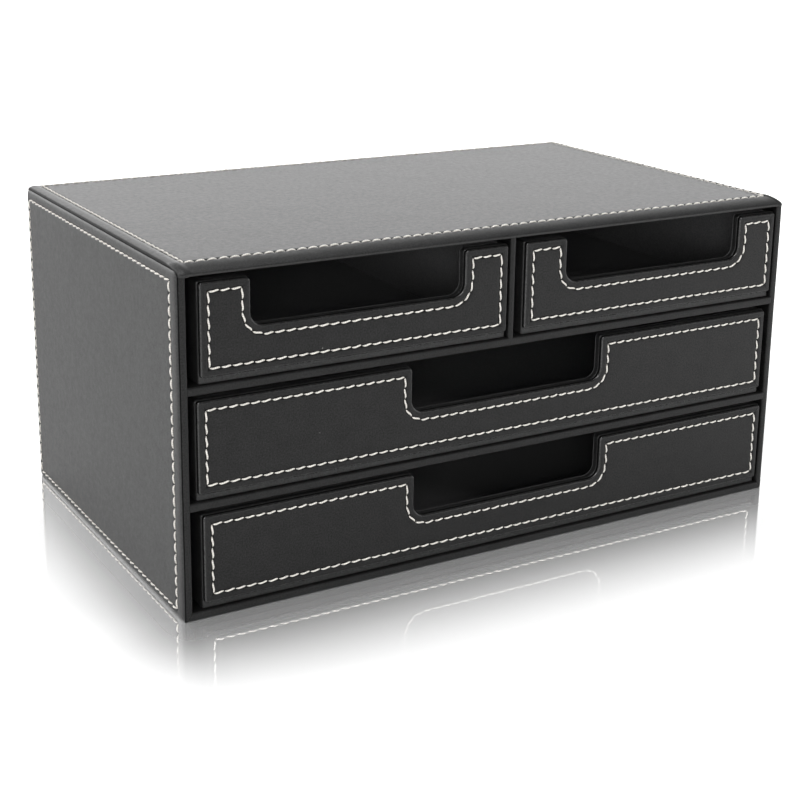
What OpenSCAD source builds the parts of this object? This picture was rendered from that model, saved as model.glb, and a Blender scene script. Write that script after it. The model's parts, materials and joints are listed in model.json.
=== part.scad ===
// Desktop mini drawers: a board cabinet covered in stitched leather, with two small
// drawers side by side over two wide ones. Each drawer is a lined board box with a
// padded leather face glued to its front wall, and a U-shaped finger cut-out.
// X runs across the front, Y from the front (-Y) to the back, Z up from the base.
// All sizes are in millimetres.

/* [Cabinet] */
// Width over the side covers
body_w = 330; // [280:1:420]
// Depth from the front edges to the back cover
body_d = 200; // [140:1:300]
// Height from the base to the top cover
body_h = 157; // [150:0.5:200]
// Clear height of the bottom bay
bottom_bay_h = 46.2; // [40:0.1:50]
// Clear height of the middle bay
middle_bay_h = 47.6; // [40:0.1:50]

/* [Boards] */
// Thickness of the five casing boards
board_t = 2.5; // [2:0.1:4]
// Thickness of the two shelf boards
shelf_board_t = 3; // [2:0.1:4]
// Thickness of the board between the two small drawers
divider_board_t = 2; // [1.5:0.1:4]

/* [Leather and lining] */
// Thickness of the stitched covers on the outside
cover_t = 1; // [0.6:0.1:1.6]
// Radius of the covers' rolled edges
cover_roll_r = 0.9; // [0.3:0.05:1.5]
// Radius of the nose that the top cover rolls over at the front
nose_r = 5; // [3.5:0.5:12]
// Thickness of the leather on the front edges and of the bay lining
wrap_t = 0.5; // [0.3:0.05:0.8]
// How far the leather on the front edges turns into the bays
lap_d = 15; // [5:1:30]
// Radius of thin leather rolled over the edge of a board
fold_roll_r = 0.9; // [0.3:0.05:1.1]

/* [Drawer boxes] */
// Play at each side of a drawer that stands in the middle of its bay
side_play = 3; // [0.6:0.1:5]
// Running gap under a drawer
run_gap = 0.3; // [0.2:0.05:0.6]
// Gap over a drawer
head_gap = 2.5; // [1:0.1:5]
// Gap behind a closed drawer
rear_gap = 2; // [1:0.5:10]
// Thickness of the four wall boards
wall_t = 2.5; // [1.5:0.1:4]
// Thickness of the floor board
floor_t = 2; // [1.5:0.1:4]
// Thickness of the leather over the walls
skin_t = 0.5; // [0.3:0.05:0.8]
// Thickness of the lining
lining_t = 0.4; // [0.2:0.05:0.8]

/* [Drawer faces] */
// Thickness of the whole face
face_t = 2; // [1.4:0.1:4]
// Thickness of the leather over the face board
face_skin_t = 0.7; // [0.4:0.05:1]
// Radius of the face's rolled edges
face_roll_r = 1.1; // [0.5:0.05:1.3]
// How far the face stays inside the box at the sides and the top
face_inset = 0.4; // [0:0.1:1]
// How much of the box shows below the face
face_rise = 2.8; // [0:0.1:4]

/* [Finger cut-outs] */
// Width of the cut-out
notch_w = 106; // [60:1:116]
// Depth of the cut-out in the tallest drawer; the others keep its share of their height
notch_d = 21.5; // [14:0.5:28]
// Radius of its lower corners
notch_r = 6; // [3:0.5:10]
// Radius where it meets the top edge
lip_r = 2; // [1.4:0.1:4]

/* [Drawers at rest] */
// Where the top left drawer stands in its play: -1 left, 1 right
top_left_bias = 0.8; // [-0.9:0.05:0.9]
// Where the top right drawer stands
top_right_bias = 0.8; // [-0.9:0.05:0.9]
// Where the middle drawer stands
middle_bias = 0.15; // [-0.9:0.05:0.9]
// Where the bottom drawer stands
bottom_bias = 0.75; // [-0.9:0.05:0.9]

/* [Hidden] */
$fn = 64;
// How far a cutting shape runs past what it cuts
over = 1;
LEATHER = [0.17, 0.17, 0.17];
FACE_LEATHER = [0.14, 0.14, 0.14];
LINING = [0.05, 0.05, 0.05];
BOARD = [0.55, 0.43, 0.3];

// Planes of the board casing, under the covers
front_y = -body_d / 2;
board_y = front_y + wrap_t;
core_x = body_w / 2 - cover_t;
core_y = body_d / 2 - cover_t;
core_z = body_h - cover_t;
back_board_y = core_y - board_t;
lap_y = board_y + lap_d;

// Rolls of the covers and of the thin leather, which stay inside their thickness
cover_r = min(cover_roll_r, 0.95 * cover_t);
edge_r = min(fold_roll_r, 3 * wrap_t);
box_r = min(fold_roll_r, 3 * skin_t);
// Width of a front edge strip on a casing board
edge_w = board_t + wrap_t;

// Clear faces of the bays
bay_x = core_x - board_t - wrap_t;
bay_back_y = back_board_y - wrap_t;
bottom_bay_z = cover_t + board_t + wrap_t;
shelf_t = shelf_board_t + 2 * wrap_t;
lower_shelf_z = bottom_bay_z + bottom_bay_h;
middle_bay_z = lower_shelf_z + shelf_t;
upper_shelf_z = middle_bay_z + middle_bay_h;
top_bay_z = upper_shelf_z + shelf_t;
ceiling_z = core_z - board_t - wrap_t;
divider_t = divider_board_t + 2 * wrap_t;

// Front and back of the drawer boxes, and the thickness of a wall with its leather
box_y = front_y + face_t;
box_end_y = bay_back_y - rear_gap;
side_t = skin_t + wall_t;

// Each bay: its name, left, right, floor, ceiling, and where its drawer stands
BAYS = [
    ["top_left", -bay_x, -divider_t / 2, top_bay_z, ceiling_z, top_left_bias],
    ["top_right", divider_t / 2, bay_x, top_bay_z, ceiling_z, top_right_bias],
    ["middle", -bay_x, bay_x, middle_bay_z, upper_shelf_z, middle_bias],
    ["bottom", -bay_x, bay_x, bottom_bay_z, lower_shelf_z, bottom_bias],
];

CABINET = [
    "top_board", "bottom_board", "left_side_board", "right_side_board", "back_board",
    "upper_shelf", "lower_shelf", "top_row_divider",
    "top_cover", "left_side_cover", "right_side_cover", "back_cover", "base_cover",
    "front_edge_top", "front_edge_bottom", "front_edge_left", "front_edge_right",
    "upper_shelf_edge", "lower_shelf_edge", "divider_edge",
];
DRAWER_PARTS = [
    "front_wall", "back_wall", "left_wall", "right_wall", "floor",
    "box_skin", "lining", "face_board", "face_cover",
];

// ---- Shapes that several pieces share ----

// A block between two opposite corners
module block(low, high) {
    translate(low) cube(high - low);
}

// A flat outline in X and Z, made solid from the plane y back to y + t
module slab(y, t) {
    translate([0, y + t, 0]) rotate([90, 0, 0]) linear_extrude(t) children();
}

// The waste outside a quarter round of radius r: X and Y run into the leather from its edges
module roll_waste_2d(r) {
    difference() {
        translate([-over, -over]) square(r + over);
        translate([r, r]) circle(r);
    }
}

// A rectangle whose two upper corners are rounded
module crowned_2d(w, h, r) {
    difference() {
        square([w, h]);
        translate([0, h]) mirror([0, 1]) roll_waste_2d(r);
        translate([w, h]) rotate(180) roll_waste_2d(r);
    }
}

// A plate whose upper edges are rolled over all round
module rolled_plate(w, d, t, r) {
    intersection() {
        translate([0, d, 0]) rotate([90, 0, 0]) linear_extrude(d) crowned_2d(w, t, r);
        rotate([90, 0, 90]) linear_extrude(w) crowned_2d(d, t, r);
    }
}

// ---- The nose: the rounded top front edge of the cabinet ----

// Waste outside the nose, g inside its leather, across the whole cabinet
module nose_waste(g) {
    half = body_w / 2 + over;
    translate([-half, front_y + g, body_h - g]) rotate([90, 0, 90]) linear_extrude(2 * half)
        mirror([0, 1]) roll_waste_2d(nose_r - g);
}

// The top of the cabinet as a block with the nose, g inside its leather, from the top
// board's lower face up
module top_block(g) {
    low = core_z - board_t;
    difference() {
        block([-core_x, front_y + g, low], [core_x, core_y, body_h - g]);
        nose_waste(g);
    }
}

// ---- Casing boards ----

module top_board() {
    color(BOARD) top_block(cover_t);
}

module bottom_board() {
    color(BOARD) block([-core_x, board_y, cover_t], [core_x, core_y, cover_t + board_t]);
}

// side is -1 for the left board and 1 for the right one
module side_board(side) {
    x = core_x - board_t / 2;
    color(BOARD) difference() {
        block([side * x - board_t / 2, board_y, cover_t + board_t],
              [side * x + board_t / 2, core_y, core_z - board_t]);
        nose_waste(wrap_t);
    }
}

module back_board() {
    x = core_x - board_t;
    color(BOARD) block([-x, back_board_y, cover_t + board_t], [x, core_y, core_z - board_t]);
}

// z is the height of the shelf's lower face, with its leather
module shelf(z) {
    x = core_x - board_t;
    color(BOARD) block([-x, board_y, z + wrap_t], [x, back_board_y, z + wrap_t + shelf_board_t]);
}

module top_row_divider() {
    x = divider_board_t / 2;
    color(BOARD) difference() {
        block([-x, board_y, top_bay_z - wrap_t], [x, back_board_y, core_z - board_t]);
        nose_waste(wrap_t);
    }
}

// The boards that the leather and the lining are slit for
module crossing_boards() {
    top_board();
    bottom_board();
    side_board(-1);
    side_board(1);
    shelf(upper_shelf_z);
    shelf(lower_shelf_z);
    top_row_divider();
}

// ---- Stitched covers ----

// The top cover comes forward over the nose; the others stop at the boards
module top_cover() {
    low = core_z - board_t;
    color(LEATHER) intersection() {
        difference() {
            top_block(0);
            top_block(cover_t);
        }
        translate([-core_x, front_y, low])
            rolled_plate(2 * core_x, core_y - front_y, body_h - low, cover_r);
    }
}

module left_side_cover() {
    color(LEATHER) difference() {
        translate([-core_x, board_y, 0]) rotate([0, -90, 0])
            rolled_plate(core_z, core_y - board_y, cover_t, cover_r);
        nose_waste(0);
    }
}

module right_side_cover() {
    mirror([1, 0, 0]) left_side_cover();
}

module back_cover() {
    color(LEATHER) translate([-core_x, core_y, core_z]) rotate([-90, 0, 0])
        rolled_plate(2 * core_x, core_z, cover_t, cover_r);
}

module base_cover() {
    color(LINING) block([-core_x, board_y, 0], [core_x, core_y, cover_t]);
}

// ---- Leather on the front edges ----

// The section of a strip: X is the depth behind the front plane, and Y runs from the
// strip's outer edge to the bay. It covers the board's front edge, rolls round its corner
// and laps the board's inner face.
module strip_2d(w) {
    difference() {
        square([wrap_t + lap_d, w]);
        translate([wrap_t, -over]) square([lap_d + over, w - wrap_t + over]);
        roll_waste_2d(wrap_t);
        translate([0, w]) mirror([0, 1]) roll_waste_2d(edge_r);
    }
}

// A strip along X, mitred to its neighbours' widths at the start and the end
module mitred_strip(length, w, start_w, end_w) {
    intersection() {
        rotate([90, 0, 90]) linear_extrude(length) strip_2d(w);
        slab(0, wrap_t + lap_d)
            polygon([[0, 0], [length, 0], [length - end_w, w], [start_w, w]]);
    }
}

module front_edge_bottom() {
    color(LEATHER) difference() {
        translate([-core_x, front_y, 0]) mitred_strip(2 * core_x, bottom_bay_z, edge_w, edge_w);
        crossing_boards();
    }
}

// Under the nose, the lap that turns up against the top board between the side strips
module front_edge_top() {
    color(LEATHER) difference() {
        translate([-bay_x, front_y, ceiling_z]) rotate([90, 0, 90]) linear_extrude(2 * bay_x)
            difference() {
                square([wrap_t + lap_d, wrap_t]);
                roll_waste_2d(wrap_t);
            }
        nose_waste(0);
        top_row_divider();
    }
}

// The side strips run up under the nose, and are mitred to the bottom one
module front_edge_left() {
    length = core_z - board_t;
    color(LEATHER) difference() {
        translate([-core_x, front_y, length]) rotate([0, 90, 0])
            mitred_strip(length, edge_w, 0, bottom_bay_z);
        nose_waste(0);
        crossing_boards();
    }
}

module front_edge_right() {
    mirror([1, 0, 0]) front_edge_left();
}

// Leather folded round the front of a shelf or of the divider, along X and t thick
module folded_edge(length, t) {
    rotate([90, 0, 90]) linear_extrude(length) translate([wrap_t + lap_d, 0]) rotate(90)
        crowned_2d(t, wrap_t + lap_d, edge_r);
}

module shelf_edge(z) {
    color(LEATHER) difference() {
        translate([-bay_x, front_y, z]) folded_edge(2 * bay_x, shelf_t);
        crossing_boards();
    }
}

module divider_edge() {
    color(LEATHER) difference() {
        translate([divider_t / 2, front_y, top_bay_z]) rotate([0, -90, 0])
            folded_edge(ceiling_z - top_bay_z, divider_t);
        crossing_boards();
    }
}

// ---- Bay lining: a thin box behind the edge leather, open at the front ----

module bay_lining(bay) {
    low = [bay[1], lap_y, bay[3]];
    high = [bay[2], bay_back_y, bay[4]];
    grow = [wrap_t, 0, wrap_t];
    color(LINING) difference() {
        block(low - grow, high + grow + [0, wrap_t, 0]);
        block(low - [0, over, 0], high);
    }
}

// ---- Drawers ----
// Each piece is drawn with X = 0 at the middle of its box and Z = 0 under it.

function box_w(bay) = bay[2] - bay[1] - 2 * side_play;
function box_h(bay) = bay[4] - bay[3] - run_gap - head_gap;
function box_x(bay) = (bay[1] + bay[2]) / 2 + bay[5] * side_play;
function face_top(bay) = box_h(bay) - face_inset;

// The cut-out takes the same share of the height in every drawer
function notch_depth(bay) = notch_d * box_h(bay) / max([for (other = BAYS) box_h(other)]);

module at_drawer(bay) {
    translate([box_x(bay), 0, bay[3] + run_gap]) children();
}

// The cut-out, grown by g on every side, in a plate whose top edge is at height top.
// Its depth is taken from the face's top edge.
module notch_2d(bay, top, g) {
    half = notch_w / 2 + g;
    floor_z = face_top(bay) - notch_depth(bay) - g;
    r = notch_r + g;
    lip = lip_r - g;
    translate([-half, floor_z + r]) square([2 * half, top + over - floor_z - r]);
    translate([r - half, floor_z]) square([2 * (half - r), r + over]);
    for (side = [-1, 1]) {
        translate([side * (half - r), floor_z + r]) circle(r);
        translate([side * half, top]) difference() {
            translate([-lip, -lip]) square([2 * lip, lip + over]);
            translate([side * lip, -lip]) circle(lip);
        }
    }
}

// The box's front wall as an outline, g smaller than the box at the sides and the top
module front_2d(bay, g) {
    w = box_w(bay) - 2 * g;
    h = box_h(bay) - g;
    difference() {
        translate([-w / 2, 0]) square([w, h]);
        notch_2d(bay, h, g);
    }
}

module front_wall(bay) {
    color(BOARD) at_drawer(bay) slab(box_y + skin_t, wall_t) front_2d(bay, skin_t);
}

module back_wall(bay) {
    x = box_w(bay) / 2 - skin_t;
    y = box_end_y - side_t;
    color(BOARD) at_drawer(bay) block([-x, y, 0], [x, y + wall_t, box_h(bay) - skin_t]);
}

// side is -1 for the left wall and 1 for the right one
module side_wall(bay, side) {
    x = box_w(bay) / 2 - skin_t - wall_t / 2;
    color(BOARD) at_drawer(bay) translate([side * x, 0, 0])
        block([-wall_t / 2, box_y + side_t, 0],
              [wall_t / 2, box_end_y - side_t, box_h(bay) - skin_t]);
}

module floor_board(bay) {
    x = box_w(bay) / 2 - side_t;
    color(BOARD) at_drawer(bay) block([-x, box_y + side_t, 0], [x, box_end_y - side_t, floor_t]);
}

// Waste round a quarter arc of radius r about a Y axis, for a front edge rolled by roll.
// The arc starts at +X and turns down, and a turns it further. outside is true where the
// leather lies outside the arc.
module arc_waste(x, z, r, a, outside, roll) {
    translate([x, 0, z]) rotate([0, a, 0]) rotate([-90, 0, 0]) rotate_extrude(angle = 90)
        translate([r, 0]) mirror([outside ? 0 : 1, 0]) roll_waste_2d(roll);
}

// Waste along the front edge of the whole cut-out, in a plate whose front is at Y = 0 and
// whose top edge is at height top
module notch_waste(bay, top, roll) {
    half = notch_w / 2;
    low = face_top(bay) - notch_depth(bay);
    flat = half - notch_r;
    rise = top - low - notch_r - lip_r;
    translate([-flat, 0, low]) rotate([0, 90, 0]) linear_extrude(2 * flat) roll_waste_2d(roll);
    arc_waste(flat, low + notch_r, notch_r, 0, true, roll);
    arc_waste(-flat, low + notch_r, notch_r, 90, true, roll);
    for (side = [-1, 1]) translate([side * half, 0, low + notch_r]) linear_extrude(rise)
        mirror([side < 0 ? 1 : 0, 0]) roll_waste_2d(roll);
    arc_waste(half + lip_r, top - lip_r, lip_r, 180, false, roll);
    arc_waste(-half - lip_r, top - lip_r, lip_r, 270, false, roll);
}

// Leather round the four walls and over their top edges
module box_skin(bay) {
    x = box_w(bay) / 2;
    h = box_h(bay);
    color(LEATHER) at_drawer(bay) difference() {
        translate([-x, box_y, 0]) rolled_plate(2 * x, box_end_y - box_y, h, box_r);
        for (side = [-1, 1]) translate([side * x, box_y, -over]) linear_extrude(h + 2 * over)
            mirror([side > 0 ? 1 : 0, 0]) roll_waste_2d(box_r);
        slab(box_y - over, side_t + over) notch_2d(bay, h, 0);
        translate([0, box_y, 0]) notch_waste(bay, h, box_r);
        slab(box_y + skin_t, side_t) front_2d(bay, skin_t);
        block([skin_t - x, box_y + side_t, -over], [x - skin_t, box_end_y - skin_t, h - skin_t]);
        block([side_t - x, box_y + side_t, -over], [x - side_t, box_end_y - side_t, h + over]);
    }
}

// Lining over the floor and up the walls, cut out with the front wall
module drawer_lining(bay) {
    x = box_w(bay) / 2 - side_t;
    h = box_h(bay);
    color(LINING) at_drawer(bay) difference() {
        block([-x, box_y + side_t, floor_t], [x, box_end_y - side_t, h]);
        block([lining_t - x, box_y + side_t + lining_t, floor_t + lining_t],
              [x - lining_t, box_end_y - side_t - lining_t, h + over]);
        slab(box_y, side_t + lining_t + over) notch_2d(bay, h, 0);
    }
}

// ---- Drawer faces ----

module face_2d(bay, g) {
    half = box_w(bay) / 2 - face_inset - g;
    difference() {
        translate([-half, face_rise + g]) square([2 * half, face_top(bay) - face_rise - 2 * g]);
        notch_2d(bay, face_top(bay) - g, g);
    }
}

module face_board(bay) {
    color(BOARD) at_drawer(bay) slab(front_y + face_skin_t, face_t - face_skin_t)
        face_2d(bay, face_skin_t);
}

module face_cover(bay) {
    half = box_w(bay) / 2 - face_inset;
    h = face_top(bay) - face_rise;
    color(FACE_LEATHER) at_drawer(bay) difference() {
        translate([-half, front_y + face_t, face_rise]) rotate([90, 0, 0])
            rolled_plate(2 * half, h, face_t, face_roll_r);
        slab(front_y - over, face_t + 2 * over) notch_2d(bay, face_top(bay), 0);
        translate([0, front_y, 0]) notch_waste(bay, face_top(bay), face_roll_r);
        slab(front_y + face_skin_t, face_t) face_2d(bay, face_skin_t);
    }
}

// ---- The pieces ----

top_board();
bottom_board();
side_board(-1);  // left_side_board
side_board(1);  // right_side_board
back_board();
shelf(upper_shelf_z);  // upper_shelf
shelf(lower_shelf_z);  // lower_shelf
top_row_divider();
top_cover();
left_side_cover();
right_side_cover();
back_cover();
base_cover();
front_edge_top();
front_edge_bottom();
front_edge_left();
front_edge_right();
shelf_edge(upper_shelf_z);  // upper_shelf_edge
shelf_edge(lower_shelf_z);  // lower_shelf_edge
divider_edge();
for (bay = BAYS) {
    bay_lining(bay);
    front_wall(bay);
    back_wall(bay);
    side_wall(bay, -1);
    side_wall(bay, 1);
    floor_board(bay);
    box_skin(bay);
    drawer_lining(bay);
    face_board(bay);
    face_cover(bay);
}
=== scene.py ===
# %% [markdown]
# # Desktop mini drawers in stitched leather
#
# The object is a small cabinet of thin boards. Smooth black leather is glued over every
# board, rolled round its edges and sewn near them with thick cream thread. The boards, the
# drawer boxes and the linings already have their real shape in the CAD frame, so they
# stay, and only get a finish here. What the frame can't show is how soft leather behaves:
# edges that roll over, a seam that pulls the leather down, and about a thousand stitches.
# Those pieces are made new, as surfaces worked out with numpy.

# %% Load the frame
import json
import math

import bpy
import numpy as np
from mathutils import Matrix, Vector


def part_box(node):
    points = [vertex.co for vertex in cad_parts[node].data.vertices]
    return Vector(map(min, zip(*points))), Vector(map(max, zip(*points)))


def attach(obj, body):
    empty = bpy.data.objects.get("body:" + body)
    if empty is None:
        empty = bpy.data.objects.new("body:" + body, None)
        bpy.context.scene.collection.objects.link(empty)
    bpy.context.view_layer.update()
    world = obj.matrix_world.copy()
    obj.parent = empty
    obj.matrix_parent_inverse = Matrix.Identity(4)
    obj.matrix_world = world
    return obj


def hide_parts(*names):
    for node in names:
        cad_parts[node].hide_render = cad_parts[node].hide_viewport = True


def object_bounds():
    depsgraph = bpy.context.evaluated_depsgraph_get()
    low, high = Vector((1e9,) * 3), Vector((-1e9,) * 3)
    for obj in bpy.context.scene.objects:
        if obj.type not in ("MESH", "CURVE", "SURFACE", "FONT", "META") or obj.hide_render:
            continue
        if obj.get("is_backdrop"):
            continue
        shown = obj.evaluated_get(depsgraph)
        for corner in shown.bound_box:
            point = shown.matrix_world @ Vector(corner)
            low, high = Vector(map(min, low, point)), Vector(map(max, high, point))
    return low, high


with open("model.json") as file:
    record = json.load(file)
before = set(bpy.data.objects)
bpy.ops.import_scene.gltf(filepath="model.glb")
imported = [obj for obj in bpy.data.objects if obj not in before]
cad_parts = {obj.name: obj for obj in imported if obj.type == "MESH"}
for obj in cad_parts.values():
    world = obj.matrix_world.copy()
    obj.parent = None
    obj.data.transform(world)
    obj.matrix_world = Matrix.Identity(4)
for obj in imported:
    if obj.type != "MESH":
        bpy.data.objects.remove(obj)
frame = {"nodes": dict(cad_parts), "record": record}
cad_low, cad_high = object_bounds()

MM = 0.001  # the frame is in metres, and every size below is in millimetres

print("CAD box in mm:", [round(v / MM, 1) for v in (*cad_low, *cad_high)])

# %% [markdown]
# ## Where things are
#
# A new piece has to sit on the board that carries it. So nothing is placed by eye: each
# plane is read from a node of the frame. Only the finger cut-out's own sizes can't be read
# from a box, and they are repeated here.

# %% Planes of the cabinet
def node_box(node):
    """The lowest and the highest corner of a node, in millimetres."""
    low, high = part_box(node)
    return np.array(low) / MM, np.array(high) / MM


board_low, board_high = node_box("right_side_board")
SIDE_X = board_high[0]                            # outer face of the side boards
BOARD_Y = board_low[1]                            # front edge of the boards
CABINET_LOW, CABINET_HIGH = np.array(cad_low) / MM, np.array(cad_high) / MM
FRONT_Y = CABINET_LOW[1]                          # front and top of the whole cabinet
BACK_Y = node_box("back_cover")[0][1]             # outer face of the back board
TOP_Z = CABINET_HIGH[2]
BOARD_TOP_Z = node_box("top_board")[1][2]
COVER_T = TOP_Z - BOARD_TOP_Z                     # thickness of the stitched covers
BAY_X = node_box("front_edge_right")[0][0]        # clear face of the bays
LAP_Y = node_box("front_edge_right")[1][1]        # how far the edge leather turns in
RAIL_Z = node_box("front_edge_top")[0][2]         # underside of the top rail
SILL_Z = node_box("front_edge_bottom")[1][2]      # upper face of the bottom rail

NOTCH_HALF_W = 53.0        # the finger cut-out: half its width,
NOTCH_SHARE = 21.5 / 44.8  # its depth as a share of the drawer's height,
NOTCH_R = 6.0              # the radius of its lower corners
LIP_R = 2.0                # and where it meets the top edge

DRAWERS = ["top_left", "top_right", "middle", "bottom"]

print(f"side boards at x = {SIDE_X:.1f}, bays to x = {BAY_X:.1f}, rail at z = {RAIL_Z:.1f}")

# %% [markdown]
# ## The camera
#
# The cabinet is seen from its front left corner and a little above, through a fairly long
# lens. The camera stands on an arm that turns about a point on the cabinet's axis: the
# azimuth swings the arm to the left, the elevation lifts it, and a small roll levels the
# horizon. The lens shift keeps the cabinet in the upper part of the frame without tilting
# the camera, which would make the upright edges lean.

# %% Camera
FRAME_PX = 800
CAMERA_AZIMUTH = math.radians(-30.459)
CAMERA_ELEVATION = math.radians(15.05)
CAMERA_ROLL = math.radians(0.805)
CAMERA_DISTANCE = 0.80894
CAMERA_TARGET = Vector((0, 0, 0.098964))
FOCAL_PX = 1559.6                 # focal length in pixels of the frame
CENTRE_PX = (402.2, 302.2)        # where the camera's axis meets the frame
SENSOR_MM = 36


def make_camera():
    """A camera at the end of the arm, with its own right, up and back axes as columns."""
    back = Vector((
        math.sin(CAMERA_AZIMUTH) * math.cos(CAMERA_ELEVATION),
        -math.cos(CAMERA_AZIMUTH) * math.cos(CAMERA_ELEVATION),
        math.sin(CAMERA_ELEVATION),
    ))
    level = Vector((0, 0, 1)).cross(back).normalized()
    right = Matrix.Rotation(CAMERA_ROLL, 3, back) @ level
    up = back.cross(right)
    camera = bpy.data.objects.new("camera", bpy.data.cameras.new("camera"))
    bpy.context.scene.collection.objects.link(camera)
    camera.matrix_world = Matrix.Translation(CAMERA_TARGET + back * CAMERA_DISTANCE) @ (
        Matrix((right, up, back)).transposed().to_4x4()
    )
    camera.data.sensor_width = SENSOR_MM
    camera.data.lens = FOCAL_PX / FRAME_PX * SENSOR_MM
    camera.data.shift_x = (FRAME_PX / 2 - CENTRE_PX[0]) / FRAME_PX
    camera.data.shift_y = (CENTRE_PX[1] - FRAME_PX / 2) / FRAME_PX
    camera.data.clip_start = 0.01
    return camera


bpy.context.scene.camera = make_camera()
print(f"lens {bpy.context.scene.camera.data.lens:.1f} mm")

# %% [markdown]
# ## From arrays to pieces
#
# Every soft surface below is a grid of points, so one helper turns such a grid into faces
# and another puts points and faces into a mesh. `foreach_set` copies whole arrays, which
# is far quicker than adding vertices one by one. A grid doesn't know which of its sides is
# the outside, so a third helper looks at the average normal and turns the faces over if
# needed.

# %% Mesh helpers
def grid_quads(rows, columns, closed=False):
    """Four-cornered faces between neighbouring rows and columns of a grid of points.

    closed joins the last column to the first.
    """
    index = np.arange(rows * columns).reshape(rows, columns)
    if closed:
        index = np.concatenate([index, index[:, :1]], axis=1)
    corners = [index[:-1, :-1], index[:-1, 1:], index[1:, 1:], index[1:, :-1]]
    return np.stack(corners, axis=-1).reshape(-1, 4)


def faces_out(points, quads, outside):
    """The same faces, turned over if their average normal points away from outside.

    A face's normal is the cross product of its two diagonals.
    """
    a, b, c, d = (points[quads[:, k]] for k in range(4))
    normal = np.cross(c - a, d - b).sum(axis=0)
    return quads[:, ::-1] if normal @ np.array(outside) < 0 else quads


def make_mesh(name, points, quads, polygons=(), smooth_below=50, shade=None):
    """A smooth mesh from points in millimetres, quads and a few many-cornered faces.

    shade goes along as an attribute: 1 in the grooves, where painted shade makes the leather
    darker and less glossy, and down to -1 on edges that hands have rubbed shiny.
    """
    corners = np.concatenate([quads.ravel(), *polygons]).astype(np.int32)
    sizes = np.array([4] * len(quads) + [len(p) for p in polygons], np.int32)
    mesh = bpy.data.meshes.new(name)
    mesh.vertices.add(len(points))
    mesh.vertices.foreach_set("co", (points * MM).astype(np.float32).ravel())
    mesh.loops.add(len(corners))
    mesh.loops.foreach_set("vertex_index", corners)
    mesh.polygons.add(len(sizes))
    mesh.polygons.foreach_set("loop_start", (np.cumsum(sizes) - sizes).astype(np.int32))
    mesh.update(calc_edges=True)
    if shade is not None:
        mesh.attributes.new("painted_shade", "FLOAT", "POINT").data.foreach_set(
            "value", np.ascontiguousarray(shade, np.float32).ravel())
    mesh.validate()
    mesh.shade_smooth()
    mesh.set_sharp_from_angle(angle=math.radians(smooth_below))
    return mesh


PIECES = []  # every new piece with its material slot


def add_piece(mesh, body, slot, stands_for=()):
    """Puts a mesh into the scene, on the body that it moves with."""
    piece = bpy.data.objects.new(mesh.name, mesh)
    bpy.context.scene.collection.objects.link(piece)
    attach(piece, body)
    if stands_for:
        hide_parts(*stands_for)
    PIECES.append((piece, slot))
    print(f"{mesh.name}: {len(mesh.vertices)} points, {len(mesh.polygons)} faces")

# %% [markdown]
# ## How leather rolls over an edge
#
# A leather cover curls down at its rim, and where nothing stops it, the curl bulges out a
# little over the edge and comes back in under itself. Two such rims side by side leave the
# dark groove that tells glued covers from a moulded box. A bevel can't do that, since it
# never turns back. An ellipse can: q runs from 0, where the roll begins, to 1 at the very
# rim, and with it an angle runs from straight up, past the widest point, to the place
# where the rim meets the board. Painted shade, set further down, darkens the groove more.
#
# The small waves come from a sum of three sines, whose lengths don't fit each other, so
# that no edge is ruler straight.

# %% Rolled rims and small waves
ROLL_W = 2.6          # how far the roll of a cover reaches in from its rim
CORNER_EASE = 0.35    # how round the roll is where two rims meet
WAVE_H = 0.05         # height of the small waves on the covers
LOW_WAVE_H = 0.04     # and on the strips and the drawer faces
WAVES = [(0.6, 0.09), (0.35, 0.23), (0.2, 0.57)]  # size, and radians a millimetre


def roll(inset, width):
    """Height of a plain rolled edge as a share of the full height.

    With q = 1 - inset / width, it is the square root of 1 - q squared.
    """
    q = np.clip(1 - inset / width, 0, 1)
    return np.sqrt(1 - q**2)


def corner_q(q_a, q_b):
    """One q for both directions: the larger one, eased where the two meet on a diagonal."""
    large, small = np.maximum(q_a, q_b), np.minimum(q_a, q_b)
    return large + CORNER_EASE * (1 - large) * (small / np.maximum(large, 1e-9)) ** 2


def rim_section(q, bulge, width=ROLL_W):
    """How far the rim's section lies outside its grid line, and how deep, as a share.

    The angle runs from 90 degrees at q = 0 to minus acos(W / (W + bulge)) at q = 1.
    """
    end = -np.arccos(width / (width + bulge))
    angle = np.pi / 2 - q * (np.pi / 2 - end)
    out = (width + bulge) * np.cos(angle) - width * q
    return out, (1 - np.sin(angle)) / (1 - np.sin(end))


def waver(along, seed):
    """A slow wander between about -1 and 1: three sines of different length, added."""
    phase = np.random.default_rng(seed).uniform(0, 2 * np.pi, 3)
    return sum(size * np.sin(rate * along + phase[k]) for k, (size, rate) in enumerate(WAVES))


print(f"rolls {ROLL_W} mm wide, waves {WAVE_H} mm high")

# %% [markdown]
# ## How a seam pulls the leather down
#
# Each seam lies in a shallow valley, because the thread is pulled tight. At the end of
# every stitch the needle has left a hole, where the leather goes down furthest. Both are
# bell curves across the seam. The holes also need a curve along it: a raised cosine with
# one peak per stitch. The grid gets five columns per stitch, which is just enough to show
# the holes, and closer lines over the valley.
#
# Grooves and seams catch little light. How deep a point lies in one goes along with the
# mesh, and there the leather gets painted shade: a darker colour and less gloss.

# %% Seams
PITCH = 5.2          # length of a stitch, hole to hole
STEPS = 5            # grid steps to a stitch
VALLEY_W = 0.85      # width of the valley's bell curve
VALLEY_D = 0.28      # and its depth
HOLE_W = 0.55        # the same for a needle hole
HOLE_D = 0.4
SEAM_D = VALLEY_D + HOLE_D
SEAM_SHADE = 0.6     # how dark the painted shade in a seam is, next to that in a groove
ROLL_LINES = 14      # grid lines over a roll
MARGIN_STEP = 0.8    # the step between the rolls and the seams,
LEAST_STEP = 0.12    # and the smallest step that is kept
BESIDE_SEAM = np.array([-1.5, -1.0, -0.7, -0.45, -0.2, 0, 0.2, 0.45, 0.7, 1.0, 1.5])


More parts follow.
